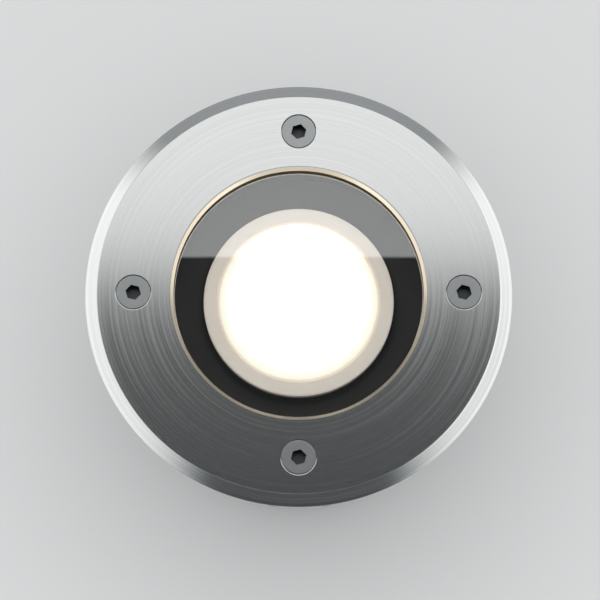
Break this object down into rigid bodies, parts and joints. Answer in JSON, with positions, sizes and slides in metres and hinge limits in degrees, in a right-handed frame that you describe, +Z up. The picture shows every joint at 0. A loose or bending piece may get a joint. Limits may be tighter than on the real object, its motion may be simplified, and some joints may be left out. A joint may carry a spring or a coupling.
{
  "type": "in ground well light",
  "caption": "Round walk-over in-ground light: screwed stainless cover ring, glass and seal over a twist-lock reflector lamp in a finned housing, set in an installation sleeve.",
  "frame": {"origin": "centre of the installation sleeve's base, on the bottom of the hole; the finished ground is at z = 0.127 m, the underside of the cover ring's rim", "axes": "+Z up out of the ground, along the light's axis; the four cover screws lie on X and Y; the cable slots face +X and -X"},
  "size_m": [0.11, 0.11, 0.13],
  "materials": {
    "brushed_stainless": "fine brushed, satin",
    "screw_stainless": "satin",
    "clear_glass": "polished, clear",
    "clear_silicone": "satin",
    "white_nylon": "matt",
    "black_casting": "matt powder coat",
    "black_plate": "matt",
    "lamp_white": "satin",
    "lamp_glow": "frosted, lit",
    "circuit_white": "satin",
    "circuit_green": "satin",
    "brass_plated": "nickel plated",
    "ceramic": "unglazed, matt",
    "brass": "satin",
    "zinc_steel": "zinc plated",
    "terminal_plastic": "matt",
    "gland_plastic": "satin",
    "black_rubber": "matt",
    "sleeve_plastic": "moulded, matt"
  },
  "bodies": {
    "sleeve": {"installation_sleeve": "sleeve_plastic"},
    "housing": {"housing": "black_casting", "lamp_support_plate": "black_plate", "lampholder": "ceramic", "holder_contacts": "brass", "holder_bracket": "zinc_steel", "holder_screws": "zinc_steel", "bracket_screws": "zinc_steel", "terminal_block": "terminal_plastic", "terminal_barrels": "brass", "terminal_screws": "zinc_steel", "terminal_fixing_screw": "zinc_steel", "earth_washer": "brass", "earth_screw": "zinc_steel", "gland_body": "gland_plastic", "gland_seal_ring": "black_rubber", "gland_locknut": "gland_plastic", "gland_seal_insert": "black_rubber"},
    "gland_nut": {"gland_dome_nut": "gland_plastic"},
    "lamp": {"lamp_shell": "lamp_white", "lamp_diffuser": "lamp_glow", "led_board": "circuit_white", "driver_board": "circuit_green", "lamp_base": "lamp_white", "lamp_pins": "brass_plated"},
    "glass_unit": {"front_glass": "clear_glass", "glass_gasket": "clear_silicone"},
    "cover": {"bezel_ring": "brushed_stainless", "screw_retainers": "white_nylon"},
    "screw_right": {"cover_screw_right": "screw_stainless"},
    "screw_back": {"cover_screw_back": "screw_stainless"},
    "screw_left": {"cover_screw_left": "screw_stainless"},
    "screw_front": {"cover_screw_front": "screw_stainless"}
  },
  "joints": [
    {"name": "luminaire_lift", "type": "slide", "parent": "sleeve", "child": "housing", "axis": [0, 0, 1], "range_m": [0, 0.122]},
    {"name": "glass_lift", "type": "slide", "parent": "housing", "child": "glass_unit", "axis": [0, 0, 1], "range_m": [0, 0.014]},
    {"name": "cover_lift", "type": "slide", "parent": "glass_unit", "child": "cover", "axis": [0, 0, 1], "range_m": [0, 0.018]},
    {"name": "lamp_twist", "type": "hinge", "parent": "housing", "child": "lamp", "pos_m": [0, 0, 0.0671], "axis": [0, 0, 1], "range_deg": [0, 25]},
    {"name": "gland_nut_turn", "type": "hinge", "parent": "housing", "child": "gland_nut", "pos_m": [0, 0, 0.0155], "axis": [0, 0, 1], "continuous": true},
    {"name": "screw_right_turn", "type": "hinge", "parent": "cover", "child": "screw_right", "pos_m": [0.0425, 0, 0.13], "axis": [0, 0, 1], "continuous": true},
    {"name": "screw_back_turn", "type": "hinge", "parent": "cover", "child": "screw_back", "pos_m": [0, 0.0425, 0.13], "axis": [0, 0, 1], "continuous": true},
    {"name": "screw_left_turn", "type": "hinge", "parent": "cover", "child": "screw_left", "pos_m": [-0.0425, 0, 0.13], "axis": [0, 0, 1], "continuous": true},
    {"name": "screw_front_turn", "type": "hinge", "parent": "cover", "child": "screw_front", "pos_m": [0, -0.0425, 0.13], "axis": [0, 0, 1], "continuous": true}
  ]
}
